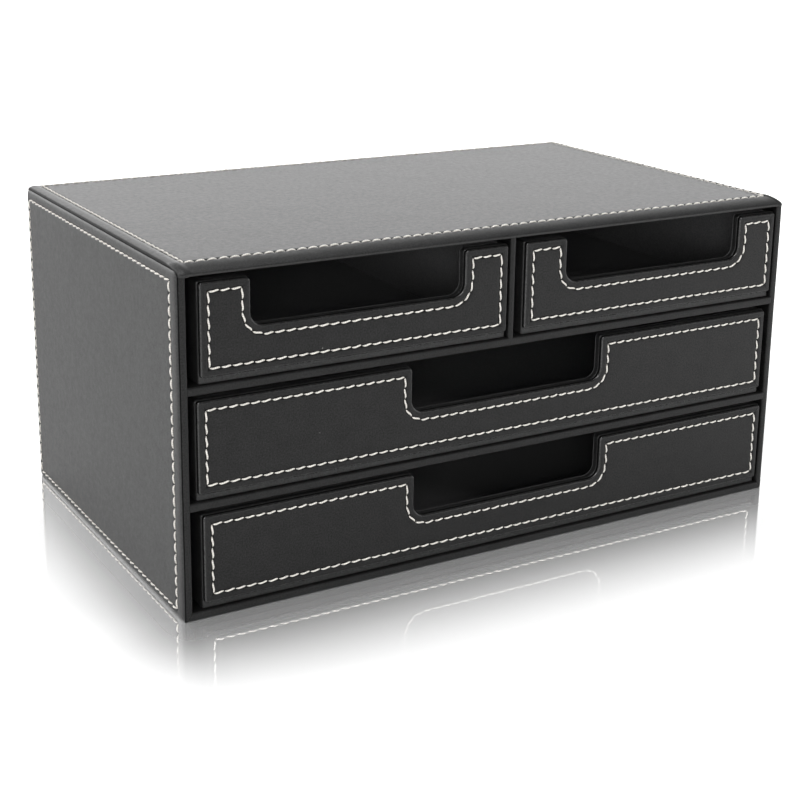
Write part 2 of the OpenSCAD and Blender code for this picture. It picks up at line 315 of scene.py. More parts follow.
def stitch_count(length):
    """How many whole stitches fill a length."""
    return max(1, round(length / PITCH))


def seam_depth(across, phase):
    """Depth of the seam: a bell curve for the valley and a narrower one for the holes.

    phase counts the stitches, so the holes are where it is a whole number.
    """
    valley = VALLEY_D * np.exp(-((across / VALLEY_W) ** 2))
    peak = (0.5 + 0.5 * np.cos(2 * np.pi * phase)) ** 3
    hole = HOLE_D * np.exp(-((across / HOLE_W) ** 2)) * peak
    return valley + hole


def painted_shade(drop, first, full, seam_part=0.0):
    """How much painted shade a point gets, from the rim's drop and the depth of a seam.

    It rises smoothly, as 3 t squared minus 2 t cubed, while the drop goes from first to full.
    """
    t = np.clip((drop - first) / (full - first), 0, 1)
    in_seam = np.clip(seam_part / SEAM_D, 0, 1)
    return np.maximum(t * t * (3 - 2 * t), in_seam * SEAM_SHADE)


def frame_seam_depth(a, b, seam):
    """Depth of four straight seams round a rectangle: the deepest of the four."""
    a0, a1, b0, b1 = seam
    past_a = np.maximum(0, np.maximum(a0 - a, a - a1))
    past_b = np.maximum(0, np.maximum(b0 - b, b - b1))
    phase_a = (a - a0) / (a1 - a0) * stitch_count(a1 - a0)
    phase_b = (b - b0) / (b1 - b0) * stitch_count(b1 - b0)
    sides = [seam_depth(np.hypot(b - line, past_a), phase_a) for line in (b0, b1)]
    sides += [seam_depth(np.hypot(a - line, past_b), phase_b) for line in (a0, a1)]
    return np.maximum.reduce(sides)


def frame_seam_holes(seam):
    """The needle holes of those seams, as four rows of points."""
    a0, a1, b0, b1 = seam
    a = np.linspace(a0, a1, stitch_count(a1 - a0) + 1)
    b = np.linspace(b0, b1, stitch_count(b1 - b0) + 1)
    flat = [np.stack([a, np.full_like(a, line)], axis=1) for line in (b0, b1)]
    return flat + [np.stack([np.full_like(b, line), b], axis=1) for line in (a0, a1)]


def grid_lines(length, first, last):
    """Where the lines of a cover's grid run, with seams at first and last.

    They crowd together over the rolled edges and over both seams, and between the seams
    they divide each stitch into equal steps.
    """
    edge = np.linspace(0, ROLL_W, ROLL_LINES)
    seams = [first + BESIDE_SEAM, last + BESIDE_SEAM]
    inner = np.linspace(first, last, STEPS * stitch_count(last - first) + 1)[2:-2]
    margins = [np.arange(ROLL_W, seams[0][0], MARGIN_STEP),
               np.arange(seams[1][-1], length - ROLL_W, MARGIN_STEP)]
    lines = np.concatenate([edge, length - edge, *seams, inner, *margins])
    lines = np.sort(lines[(lines >= 0) & (lines <= length)])
    lines = lines[np.concatenate([[True], np.diff(lines) > LEAST_STEP])]
    lines[-1] = length
    return lines


print(f"a hole is {SEAM_D:.2f} mm deep, and 100 mm of seam has {stitch_count(100)} stitches")

# %% [markdown]
# ## The thread
#
# The thread is waxed cord, a little under a millimetre thick. Between two holes it
# stands up in a low arch, and it lies a little askew, because the next stitch pulls it the
# other way. A curve with a round bevel would do for one stitch. There are about a
# thousand, so each is a tube of a few dozen faces instead, and all stitches of a seam are
# worked out together: one template, carried to every pair of holes.

# %% Stitches
THREAD_R = 0.43         # radius of the thread
STITCH_SHARE = 0.88     # how much of the pitch shows between two holes
ARCH = 0.45             # how high the middle stands over the ends
SWAY = 0.14             # how far the thread bends to each side
HOLE_IN = 0.12          # how far a stitch's holes lie below the leather's face,
END_IN = 0.2            # and its ends below the holes
END_SHARE = 0.12        # the least share of the radius, squared, at its ends
LENGTHS = (0.96, 1.03)  # shortest and longest stitch, to the mean one
ASKEW = (0.1, 0.05)     # how far a stitch lies askew, and how much that differs
LIFT = (0, 0.04)        # the same for its height
RINGS = 7               # a stitch is a tube of seven rings of six points
SIDES = 6


def sew(name, rows, outside, body, seed):
    """One mesh with a stitch between every two holes that follow each other in a row.

    Ring t of a stitch, with t from -1 to 1, has its centre at half the length times t
    along the seam, SWAY times sin(pi t) across it, and ARCH times cos(pi t / 2) above its
    ends. The radius shrinks towards the ends as the square root of 1 - t to the sixth. Two
    faces close each end, and the map called twist has rings along u and sides along v.
    """
    start = np.concatenate([row[:-1] for row in rows])
    end = np.concatenate([row[1:] for row in rows])
    middle = (start + end) / 2
    along = end - start
    pitch = np.linalg.norm(along, axis=1, keepdims=True)
    along = along / pitch
    out = np.broadcast_to(np.array(outside, float), along.shape)
    across = np.cross(out, along)
    count = len(middle)
    chance = np.random.default_rng(seed)
    length = pitch * STITCH_SHARE * chance.uniform(*LENGTHS, (count, 1))
    askew = chance.normal(*ASKEW, (count, 1, 1))
    lift = chance.normal(*LIFT, (count, 1, 1))
    t = np.linspace(-1, 1, RINGS)[None, :, None]
    turn = (np.arange(SIDES) * 2 * np.pi / SIDES)[None, None, :]
    radius = THREAD_R * np.sqrt(np.maximum(END_SHARE, 1 - t**6))
    a = (length / 2)[:, :, None] * t
    b = SWAY * np.sin(np.pi * t) + askew * t
    h = ARCH * np.cos(np.pi * t / 2) - END_IN + lift
    across_part = b + radius * np.cos(turn)
    out_part = h + radius * np.sin(turn)
    along_part = np.broadcast_to(a, across_part.shape)
    parts = [(along, along_part), (across, across_part), (out, out_part)]
    points = middle[:, None, None, :] + sum(v[:, None, None, :] * s[..., None] for v, s in parts)
    tube = grid_quads(RINGS, SIDES, closed=True)
    caps = np.array([[0, 3, 2, 1], [0, 5, 4, 3], [0, 1, 2, 3], [0, 3, 4, 5]])
    caps[2:] += (RINGS - 1) * SIDES
    template = np.concatenate([tube[:, ::-1], caps[:, ::-1]])
    quads = (template[None] + (np.arange(count) * RINGS * SIDES)[:, None, None]).reshape(-1, 4)
    mesh = make_mesh(name, points.reshape(-1, 3), quads, smooth_below=180)
    u = np.repeat(np.linspace(0, 1, RINGS), SIDES)
    v = np.tile(np.arange(SIDES) / SIDES, RINGS)
    around = np.tile(np.stack([u, v], 1), (count, 1))[quads.ravel()]
    mesh.uv_layers.new(name="twist").data.foreach_set("uv", around.astype(np.float32).ravel())
    print(name, "has", count, "stitches")
    add_piece(mesh, body, "thread")

# %% [markdown]
# ## Covers of the sides and the back
#
# A side cover is one sheet of leather glued to its board, sewn 6 to 7 mm below the top,
# about 9 mm behind the front and close to the base. Its front upper corner follows the
# cabinet's rounded nose. Cloth simulation would puff it up, but this leather is held flat
# by glue, so its height over the board is a formula: the roll at the rim, a low bead
# between the rim and the seam, and the seam itself.
#
# For the round corner the grid is bent: the map (x, y) to (x √(1 − y²/2), y √(1 − x²/2))
# turns a square's corner into a quarter of a disc and leaves its inner sides in place.

# %% Flat covers
BEAD = 0.16                  # height of the bead between the rim and the seam
NOSE_R = 3.6                 # radius of the side covers' front upper corner
FLAT_SHADE = (0.75, 0.95)    # the drops between which a flat cover's painted shade begins


def bend_corner(a, b, radius, top):
    """Bends the grid's corner at a = 0 and b = top into an arc.

    Returns the new a and b, which points are bent, and their place in the unit disc.
    """
    x = np.clip((radius - a) / radius, 0, 1)
    y = np.clip((b - top + radius) / radius, 0, 1)
    bent = (x > 0) & (y > 0)
    disc_x = x * np.sqrt(1 - y**2 / 2)
    disc_y = y * np.sqrt(1 - x**2 / 2)
    new_a = np.where(bent, radius - radius * disc_x, a)
    new_b = np.where(bent, top - radius + radius * disc_y, b)
    return new_a, new_b, bent, disc_x, disc_y


def rolled_cover(width, height, seam, bulges, depth, nose=0.0):
    """The grid of a cover: a and b in its plane, its height over the plane, its painted shade.

    bulges says how far each rim bulges out: at a = 0, a = width, b = 0 and b = height.
    depth is how far the rims lie below the middle. nose bends the corner a = 0, b = height.
    """
    a, b = np.meshgrid(grid_lines(width, *seam[:2]), grid_lines(height, *seam[2:]))
    before_a, before_b = a < width / 2, b < height / 2
    q_a = np.clip(1 - np.minimum(a, width - a) / ROLL_W, 0, 1)
    q_b = np.clip(1 - np.minimum(b, height - b) / ROLL_W, 0, 1)
    q = corner_q(q_a, q_b)
    if nose:
        a, b, bent, disc_x, disc_y = bend_corner(a, b, nose, height)
        q_round = np.clip(1 - nose * (1 - np.hypot(disc_x, disc_y)) / ROLL_W, 0, 1)
        in_corner = ((q_round, q), (disc_x, q_a), (disc_y, q_b))
        q, q_a, q_b = (np.where(bent, new, old) for new, old in in_corner)
    reach = np.maximum(np.hypot(q_a, q_b), 1e-9)
    to_a, to_b = q_a / reach, q_b / reach
    bulge = to_a**2 * np.where(before_a, *bulges[:2]) + to_b**2 * np.where(before_b, *bulges[2:])
    out, drop = rim_section(q, bulge)
    seam_part = frame_seam_depth(a, b, seam)
    near = np.minimum(np.minimum(a / seam[0], (width - a) / (width - seam[1])),
                      np.minimum(b / seam[2], (height - b) / (height - seam[3])))
    bead = BEAD * np.sin(np.pi * np.clip(near, 0, 1)) ** 2
    a = a + out * to_a * np.where(before_a, -1, 1)
    b = b + out * to_b * np.where(before_b, -1, 1)
    h = (bead - seam_part) * (1 - drop) - depth * drop
    return a, b, h, painted_shade(drop, *FLAT_SHADE, seam_part)


def flat_cover(name, node, width, height, seam, bulges, depth, place, outside, nose=0.0, seed=0):
    """A cover over a flat board: a runs across it, b up it, and h out from the board."""
    a, b, h, shade = rolled_cover(width, height, seam, bulges, depth, nose)
    waves = WAVE_H * waver(a, seed) * waver(b, seed + 1) * (h > -COVER_T / 2)
    points = place(a, b, COVER_T + h + waves).reshape(-1, 3)
    quads = faces_out(points, grid_quads(*a.shape), outside)
    add_piece(make_mesh(name, points, quads, shade=shade), "cabinet", "leather", [node])
    rows = frame_seam_holes(seam)
    holes = [place(*row.T, np.full(len(row), COVER_T - HOLE_IN)) for row in rows]
    sew(name + "_stitches", holes, outside, "cabinet", seed)


def side_place(way):
    """Takes a side cover's own a, b and h to X, Y and Z; way is -1 on the left, 1 on the right."""
    return lambda a, b, h: np.stack([way * (SIDE_X + h), BOARD_Y + a, b], axis=-1)


def back_place(a, b, h):
    """From the back cover's own a, b and h to the cabinet's X, Y and Z."""
    return np.stack([-SIDE_X + a, BACK_Y + h, b], axis=-1)

# %% [markdown]
# The two sides and the back share that function. Their upper rims end a little below the
# top of the boards, where the rim of the top's leather comes down to meet them.

# %% The sides and the back
GROOVE_Z = BOARD_TOP_Z - 0.85    # the height at which their rims and the top's meet
SEAM_FRONT = 8.0                 # how far the seams run behind the boards' front edge,
SEAM_REAR = 2.8                  # before the back,
SEAM_LOW = 3.2                   # above the base and in from the back's ends,
SEAM_DOWN = 5.5                  # and below the top of the boards
BULGE = 0.3                      # how far the upper and the rear rims bulge out

side_w, back_w = BACK_Y - BOARD_Y, 2 * SIDE_X
side_seam = (SEAM_FRONT, side_w - SEAM_REAR, SEAM_LOW, BOARD_TOP_Z - SEAM_DOWN)
back_seam = (SEAM_LOW, back_w - SEAM_LOW, SEAM_LOW, BOARD_TOP_Z - SEAM_DOWN)
rim_depth = COVER_T - 0.03       # the rims stop just short of the board
for side, way, seed in (("left", -1, 11), ("right", 1, 21)):
    flat_cover(f"{side}_side_leather", f"{side}_side_cover", side_w, GROOVE_Z, side_seam,
               (0, BULGE, 0, BULGE), rim_depth, side_place(way), (way, 0, 0), NOSE_R, seed)
flat_cover("back_leather", "back_cover", back_w, GROOVE_Z, back_seam,
           (BULGE, BULGE, 0, BULGE), rim_depth, back_place, (0, 1, 0), seed=31)

# %% [markdown]
# ## The top, with its nose
#
# The top's leather doesn't stop at the front edge. It runs on over a soft nose, down the
# face of the top rail and under it into the bays. A section from back to front says it
# all: a flat stretch, a quarter of an ellipse for the nose, a small arc under the rail and
# a flat lap. That section is carried across the cabinet, and every point is pushed in
# along the section's own normal for the rolled ends and the seam.

# %% Top cover
NOSE_DEEP = 9.9                 # how far behind the front the nose begins
NOSE_SLOPE = 0.25               # how much of its fall is an even slope; the rest is round
NOSE_FRONT = FRONT_Y - 0.15     # its foremost line
RAIL_R = 0.9                    # the small arc under the rail
LAP_LENGTH = 8                  # the flat lap behind that arc
TOP_X = SIDE_X + 0.3            # how far the top's leather reaches to each side,
TOP_BULGE = 0.25                # and how far its rims bulge out past that
TOP_ROLL_W = (2.2, 0.8)         # width of their roll on the flat part and on the nose,
NARROWS = 4                     # and the distance over which it narrows
TOP_BEAD = 0.35                 # how high the leather stands between the seam and the rim
TOP_SEAM_X = (-157.8, 161.2)    # where the seams run on the left and on the right,
TOP_SEAM_BACK = 2.5             # in from the back rim,
TOP_SEAM_FRONT = 10.4           # and behind the front
TOP_SHADE = (0.02, 0.3)         # the drops between which the top's painted shade begins


def nose_section():
    """The nose, the arc and the lap as points (y, z) with their normals.

    The nose is part slope and part ellipse: y = start - deep sin(t), and z = foot + rise
    (slope (1 - sin(t)) + (1 - slope) cos(t)). Its normal is (dz/dt, -dy/dt).
    """
    start_y, foot = NOSE_FRONT + NOSE_DEEP, RAIL_Z + RAIL_R
    rise = TOP_Z - foot
    t = np.linspace(0, np.pi / 2, 19)[1:]
    slope, bow = NOSE_SLOPE, 1 - NOSE_SLOPE
    height = foot + rise * (slope * (1 - np.sin(t)) + bow * np.cos(t))
    nose = np.stack([start_y - NOSE_DEEP * np.sin(t), height], 1)
    fall = rise * (slope * np.cos(t) + bow * np.sin(t))
    nose_normal = np.stack([-fall, NOSE_DEEP * np.cos(t)], 1)
    turn = np.linspace(0, np.pi / 2, 6)[1:]
    arc = np.stack([NOSE_FRONT + RAIL_R * (1 - np.cos(turn)), foot - RAIL_R * np.sin(turn)], 1)
    arc_normal = np.stack([-np.cos(turn), -np.sin(turn)], 1)
    lap = np.array([[LAP_Y - LAP_LENGTH, RAIL_Z], [LAP_Y, RAIL_Z]])
    lap_normal = np.array([[0, -1.0], [0, -1.0]])
    normal = np.concatenate([nose_normal, arc_normal, lap_normal])
    normal = normal / np.linalg.norm(normal, axis=1, keepdims=True)
    return np.concatenate([nose, arc, lap]), normal


def top_cover():
    """The top's leather: the section along the rows, and X along the columns."""
    rim_y = BACK_Y + TOP_X - SIDE_X
    width, flat_length = 2 * TOP_X, rim_y - NOSE_FRONT - NOSE_DEEP
    seam = (*(TOP_X + x for x in TOP_SEAM_X), TOP_SEAM_BACK, rim_y - (FRONT_Y + TOP_SEAM_FRONT))
    inset = grid_lines(width, *seam[:2])
    back = grid_lines(flat_length + 2 * ROLL_W, *seam[2:])
    back = back[back < flat_length - 0.1]     # the line at flat_length comes next
    nose, nose_normal = nose_section()
    flat = np.append(back, flat_length)
    section = np.concatenate([np.stack([rim_y - flat, np.full_like(flat, TOP_Z)], 1), nose])
    normal = np.concatenate([np.tile([0.0, 1.0], (len(flat), 1)), nose_normal])
    x, depth = np.meshgrid(inset, np.maximum.accumulate(rim_y - section[:, 0]))
    roll_w = np.interp(depth, [flat_length - NARROWS, flat_length], TOP_ROLL_W)
    q_x = np.clip(1 - np.minimum(x, width - x) / roll_w, 0, 1)
    q_y = np.clip(1 - depth / roll_w, 0, 1)
    reach = np.maximum(np.hypot(q_x, q_y), 1e-9)
    out, drop = rim_section(corner_q(q_x, q_y), TOP_BULGE, roll_w)
    near = np.minimum(x / seam[0], (width - x) / (width - seam[1]))
    bead = TOP_BEAD * np.sin(np.pi * np.clip(np.minimum(near, depth / seam[2]), 0, 1)) ** 2
    waves = WAVE_H * waver(x, 41) * waver(depth, 42)
    on_top = frame_seam_depth(x, depth, seam)
    fall = TOP_Z - GROOVE_Z + 0.05     # the rim ends just under the sides' rims
    push = (bead + waves - on_top) * (1 - drop) - fall * drop
    new_x = x - TOP_X + out * q_x / reach * np.where(x < TOP_X, -1, 1)
    new_y = section[:, :1] + normal[:, :1] * push + out * q_y / reach
    new_z = section[:, 1:] + normal[:, 1:] * push
    points = np.stack([new_x, new_y, new_z], axis=-1).reshape(-1, 3)
    quads = faces_out(points, grid_quads(*x.shape), (0, 0, 1))
    # painted shade on the rims' roll and in the seams
    mesh = make_mesh("top_leather", points, quads, shade=painted_shade(drop, *TOP_SHADE, on_top))
    add_piece(mesh, "cabinet", "leather", ["top_cover", "front_edge_top"])
    holes = [np.stack([a - TOP_X, rim_y - b, np.full(len(a), TOP_Z - HOLE_IN)], 1)
             for a, b in (row.T for row in frame_seam_holes(seam))]
    sew("top_leather_stitches", holes, (0, 0, 1), "cabinet", 43)


top_cover()

# %% [markdown]
# ## Leather on the front edges
#
# The front edges of the sides, the bottom, the shelves and the divider are covered with
# narrow strips, rolled over both corners of the board. Each is one section carried along
# its board. Where two strips meet at a corner, they are cut at an angle, so a strip's
# points don't all begin at the same place: each point of the section has its own start
# and end. Close to its ends a strip sinks a little, and painted shade, a darker colour
# and less gloss, draws the fine line of the joint there.

# %% Edge strips
EDGE_R = 0.95                  # radius of a strip's rounded corners
EDGE_OUT_X = SIDE_X + 0.5      # the strips reach a little over the side covers' rims
LAP = LAP_Y - FRONT_Y          # how far a strip runs back along its board
CROWN = 0.06                   # how far its flat part bows out
TUCK = 0.5                     # how far a strip's end runs in under the rolled one it meets,
RAIL_TUCK = 0.6                # and an upright one under the rail
END_SINK = 0.18                # how far a strip sinks at its ends,
END_W = 0.9                    # and over what length
STRIP_STEP = 3                 # spacing of the grid along a strip
END_SHADE = (0.3, 0.8)         # the shares of that sinking between which a painted dark line begins,
END_DARK = 0.8                 # and how dark that painted shade is
BESIDE_COVER = 4               # points of an upright's section in the groove beside the cover, in full painted shade


def strip_section(width, lap_first=False):
    """A strip's section as points (across, out), with out = 0 at the front plane.

    Two quarter circles with a nearly flat stretch between them. The far side, and the near
    one if asked, run on as a lap along the board.
    """
    turn = np.linspace(0, np.pi / 2, 7)
    near = np.stack([EDGE_R * (1 - np.cos(turn)), EDGE_R * (np.sin(turn) - 1)], 1)
    far = np.stack([width - near[::-1, 0], near[::-1, 1]], 1)
    flat = np.linspace(EDGE_R, width - EDGE_R, 5)[1:-1]
    crown = CROWN * np.sin(np.pi * (flat - EDGE_R) / (width - 2 * EDGE_R))
    parts = [near, np.stack([flat, crown], 1), far, np.array([[width, -LAP]])]
    if lap_first:
        parts.insert(0, np.array([[0, -LAP]]))
    return np.concatenate(parts)


def edge_strip(name, node, section, start, end, place, seed, outer=0):
    """A strip along a board's front edge; start and end belong to the section's points.

    The first few points, as many as outer says, lie in the groove beside the side cover and get
    full painted shade.
    """
    length = float(np.max(end) - np.min(start))
    ends = END_W * (1 - np.cos(np.linspace(0, np.pi / 2, 7))) / length
    inner = np.linspace(0, 1, max(12, int(length / STRIP_STEP)))[1:-1]
    share = np.unique(np.concatenate([ends, 1 - ends, inner]))
    start, end = np.broadcast_to(start, len(section)), np.broadcast_to(end, len(section))
    along = start[None] + (end - start)[None] * share[:, None]
    gap = np.minimum(along - start[None], end[None] - along)
    sink = END_SINK * (1 - roll(gap, END_W))
    across = section[None, :, 0] + WAVE_H * waver(along, seed)
    out = section[None, :, 1] - sink + LOW_WAVE_H * waver(along + 9, seed + 1)
    points = place(across, along, out).reshape(-1, 3)
    quads = faces_out(points, grid_quads(*along.shape), (0, -1, 0))
    # painted shade where the strip sinks at its ends, for the line of the joint
    shade = painted_shade(sink / END_SINK, *END_SHADE) * END_DARK
    # full painted shade in the groove beside the side cover
    shade[:, :outer] = 1
    add_piece(make_mesh(name, points, quads, shade=shade), "cabinet", "face_leather", [node])


def upright(first_x, way):
    """Places a strip upright: across runs along X from first_x, to the right if way is 1."""
    return lambda c, s, h: np.stack([first_x + way * c, FRONT_Y - h, s], axis=-1)


def level(first_z):
    """Places a strip level: across runs upwards from first_z."""
    return lambda c, s, h: np.stack([s, FRONT_Y - h, first_z + c], axis=-1)


side_section = strip_section(EDGE_OUT_X - BAY_X)
mitre = side_section[:, 0] * SILL_Z / (EDGE_OUT_X - BAY_X)
for side, way, seed in (("left", 1, 51), ("right", -1, 53)):
    edge_strip(f"{side}_edge_leather", f"front_edge_{side}", side_section, mitre,
               RAIL_Z + RAIL_TUCK, upright(-way * EDGE_OUT_X, way), seed, BESIDE_COVER)

sill_section = strip_section(SILL_Z)
reach = EDGE_OUT_X - sill_section[:, 0] * (EDGE_OUT_X - BAY_X) / SILL_Z
edge_strip("bottom_edge_leather", "front_edge_bottom", sill_section, -reach, reach, level(0), 55)

for node, seed in (("upper_shelf_edge", 57), ("lower_shelf_edge", 59)):
    low, high = node_box(node)
    section = strip_section(high[2] - low[2], lap_first=True)
    edge_strip(node + "_leather", node, section, low[0] - TUCK, high[0] + TUCK,
               level(low[2]), seed)

low, high = node_box("divider_edge")
section = strip_section(high[0] - low[0], lap_first=True)
edge_strip("divider_edge_leather", "divider_edge", section, low[2] - TUCK, high[2] + TUCK,
           upright(low[0], 1), 61)

# %% [markdown]
# ## The drawer faces
#
# A face is a thin board in a leather cover with a U-shaped finger cut-out. Its rim is
# rolled, and a seam follows it all round, 4 mm in, also along the cut-out. A bevelled
# extrusion would get the rim but not the seam. Here the outline itself is a function of
# the inset: at every inset a straight edge moves inwards, a round outer corner gets
# tighter and a hollow corner wider, as real parallel lines do. Rings at growing insets,
# each at its own height, make the whole cover.

# %% Outline of a drawer face
SEAM_INSET = 4.0       # how far in from the rim the seam runs
FACE_CORNER_R = 1.3    # radius of the outer corners
CORNER_STEPS = 5       # points on a corner's arc
TINY = 0.02            # the least radius a corner may shrink to


def face_corners(low, high, notch_depth):
    """The eight corners, counter-clockwise from the lower left one.

    Each has its sharp vertex, the inward directions of the edges before and after it, its
    radius, and 1 if it is an outer corner or -1 if it is hollow.
    """
    x, n = (high[0] - low[0]) / 2, NOTCH_HALF_W
    z0, z1, floor = low[2], high[2], high[2] - notch_depth
    right, left, up, down = (1, 0), (-1, 0), (0, 1), (0, -1)
    rows = [
        ((-x, z0), right, up, FACE_CORNER_R, 1), ((x, z0), up, left, FACE_CORNER_R, 1),
        ((x, z1), left, down, FACE_CORNER_R, 1), ((n, z1), down, right, LIP_R, 1),
        ((n, floor), right, down, NOTCH_R, -1), ((-n, floor), down, left, NOTCH_R, -1),
        ((-n, z1), left, down, LIP_R, 1), ((-x, z1), down, right, FACE_CORNER_R, 1),
    ]
    return [(np.array(v), np.array(i), np.array(o), r, bend) for v, i, o, r, bend in rows]


def corner_point(corner, turn, inset):
    """Points on one corner's arc at an inset, with turn from 0 to 1.

    An outer arc has radius r - inset, a hollow one r + inset, about the same centre.
    """
    vertex, n_in, n_out, radius, bend = corner
    size = max(radius - bend * inset, TINY)
    angle = np.atleast_1d(turn)[:, None] * np.pi / 2
    centre = vertex + (inset + bend * size) * (n_in + n_out)
    return centre - bend * size * (np.cos(angle) * n_in + np.sin(angle) * n_out)


def outline(corners, places, inset):
    """Points of the outline at an inset.

    A place counts the outline's stretches: corner k is the stretch 2k, and the straight
    edge after it is 2k + 1.
    """
    stretch = np.floor(places).astype(int)
    share = places - stretch
    points = np.zeros((len(places), 2))
    for k, corner in enumerate(corners):
        on_arc, on_edge = stretch == 2 * k, stretch == 2 * k + 1
        points[on_arc] = corner_point(corner, share[on_arc], inset)
        first = corner_point(corner, 1, inset)
        last = corner_point(corners[(k + 1) % len(corners)], 0, inset)
        points[on_edge] = first + (last - first) * share[on_edge, None]
    return points


def stretch_length(corners, k):
    """Length of a stretch of the seam."""
    if k % 2 == 0:
        return np.pi / 2 * max(corners[k // 2][3] - corners[k // 2][4] * SEAM_INSET, TINY)
    first = corner_point(corners[k // 2], 1, SEAM_INSET)
    last = corner_point(corners[(k // 2 + 1) % len(corners)], 0, SEAM_INSET)
    return float(np.linalg.norm(last - first))


def seam_runs(corners):
    """Places along the outline, run by run, with their phase in stitches, and the holes.

    A run is a stretch of seam between two sharp corners, so the one round the cut-out
    takes in five stretches. It is divided by its length along the seam.
    """
    runs = [[0], [1], [2], [3], [4], [5], [6], [7, 8, 9, 10, 11], [12], [13], [14], [15]]
    places, phases, holes = [], [], []
    for run in runs:
        if run[0] % 2 == 0:
            places.append(run[0] + np.arange(CORNER_STEPS) / CORNER_STEPS)
            phases.append(np.zeros(CORNER_STEPS))
            continue
        lengths = np.array([stretch_length(corners, k) for k in run])
        starts = np.cumsum(lengths) - lengths
        count = stitch_count(lengths.sum())
        s = np.arange(count * STEPS + 1) / (count * STEPS) * lengths.sum()
        part = np.clip(np.searchsorted(starts, s, side="right") - 1, 0, len(run) - 1)
        share = np.clip((s - starts[part]) / lengths[part], 0, 1 - 1e-9)
        place = np.array(run)[part] + share
        places.append(place[:-1])
        phases.append(np.arange(count * STEPS) / STEPS)
        holes.append(place[::STEPS])
    return np.concatenate(places), np.concatenate(phases), holes

# %% [markdown]
# The heights of the rings are the cover's section: up the side, round the roll, over a low
# bead, down into the seam and out of it again. The small waves die out before the last
# ring, so the middle is flat, as leather glued to a board is, and one many-cornered face
# fills it. On the side, close to the edge, hands have rubbed the leather shiny. Lower on
# the side, painted shade darkens the line between the face and the box behind it.

# %% Drawer faces
FACE_ROLL_R = 1.15                   # radius of the rolled edge
FACE_BEAD, FACE_BEAD_W = 0.1, 2.4    # height and width of the bead beside it
FACE_SHADE = (0.35, 0.6)             # between which shares of the side its painted shade begins,
RUBBED = 0.4                         # and the share, from the front, that is rubbed shiny
WAVES_FROM, WAVES_TO = 0.5, 6.2      # the insets between which the small waves run,
WAVES_FADE = 2                       # and over what width they die out


def face_section(thickness):
    """The section of a face's rim as rows (inset, height above the back).

    A straight side, a quarter circle, a bead shaped as a squared sine, then the valley.
    """
    side = [[0.0, 0.0], [0.0, 0.35], [0.0, thickness - FACE_ROLL_R]]
    turn = np.linspace(0, np.pi / 2, 8)[1:]
    arc = FACE_ROLL_R * np.stack([1 - np.cos(turn), np.sin(turn) - 1], 1) + [0, thickness]
    margin = np.array([1.5, 1.9, 2.3, 2.7, 3.0, 3.3, 3.55, 3.8,
                       4.0, 4.2, 4.45, 4.7, 5.0, 5.5, 6.2, 7.0])
    bead = FACE_BEAD * np.sin(np.pi * np.clip((margin - FACE_ROLL_R) / FACE_BEAD_W, 0, 1)) ** 2
    return np.concatenate([side, arc, np.stack([margin, thickness + bead], 1)])


def drawer_face(drawer, seed):
    """The leather cover of a drawer face, and the stitches along its seam."""
    node = f"drawer_{drawer}_face_cover"
    low, high = node_box(node)
    box_low, box_high = node_box(f"drawer_{drawer}_box_skin")
    middle_x, back_y = (low[0] + high[0]) / 2, high[1]
    corners = face_corners(low, high, NOTCH_SHARE * (box_high[2] - box_low[2]))
    places, phases, holes = seam_runs(corners)
    section = face_section(high[1] - low[1])
    inset, high_up = section[:, :1], section[:, 1:]
    rings = np.stack([outline(corners, places, i) for i in section[:, 0]])
    along = np.arange(len(places)) * PITCH / STEPS
    fade = (inset > WAVES_FROM) * np.clip((WAVES_TO - inset) / WAVES_FADE, 0, 1)
    in_seam = seam_depth(inset - SEAM_INSET, phases[None])
    height = high_up - in_seam + LOW_WAVE_H * waver(along, seed) * fade
    points = np.stack([middle_x + rings[..., 0], back_y - height, rings[..., 1]], -1)
    quads = grid_quads(*height.shape, closed=True)
    last = np.arange(len(places)) + (len(section) - 1) * len(places)
    first = np.arange(len(places))[::-1]
    # painted shade low on the side, between the face and its box, and in the seam
    under = 1 - high_up / (high[1] - low[1])
    rubbed = np.sin(np.pi * np.clip(under / RUBBED, 0, 1)) * (inset < FACE_ROLL_R)
    shade = painted_shade(under, *FACE_SHADE, in_seam) - rubbed
    mesh = make_mesh(f"{drawer}_drawer_face_leather", points.reshape(-1, 3), quads,
                     [last, first], shade=shade)
    body = f"drawer_{drawer}"
    add_piece(mesh, body, "face_leather", [node])
    rows = [outline(corners, run, SEAM_INSET) for run in holes]
    hole_y = back_y - section[-1, 1] + HOLE_IN
    rows = [np.stack([middle_x + r[:, 0], np.full(len(r), hole_y), r[:, 1]], 1) for r in rows]
    sew(f"{drawer}_drawer_face_stitches", rows, (0, -1, 0), body, seed + 1)


for number, drawer in enumerate(DRAWERS):
    drawer_face(drawer, 71 + 2 * number)

# %% [markdown]
# ## Finishes
#
# Five finishes cover everything: two leathers, the lining, raw board and thread. Black is
# the hardest colour to get right, because nearly all that shows on it is the gloss: the
# base colour is close to black, and the finish is told apart by its roughness, its grain
# and the waves under it. So the leather spends its nodes there. Every pattern reads Object
# coordinates, so it stays on the surface when a drawer slides.

# %% Node helpers
def fill(node, values):
    """Sets a node's input sockets, or links them where the value is an output socket."""
    for socket, value in values.items():
        if isinstance(value, bpy.types.NodeSocket):
            node.id_data.links.new(value, node.inputs[socket])
        else:
            node.inputs[socket].default_value = value


def add_node(tree, kind, values=(), **settings):
    """Adds a shader node with its settings, and fills its input sockets."""
    node = tree.nodes.new("ShaderNode" + kind)
    for name, value in settings.items():
        setattr(node, name, value)
    fill(node, dict(values))
    return node


def work_out(tree, operation, *values):
    """The result of a Math node."""
    return add_node(tree, "Math", dict(enumerate(values)), operation=operation).outputs[0]


def work_out_vector(tree, operation, *values):
    """The outputs of a Vector Math node: "Vector" and "Value"."""
    return add_node(tree, "VectorMath", dict(enumerate(values)), operation=operation).outputs


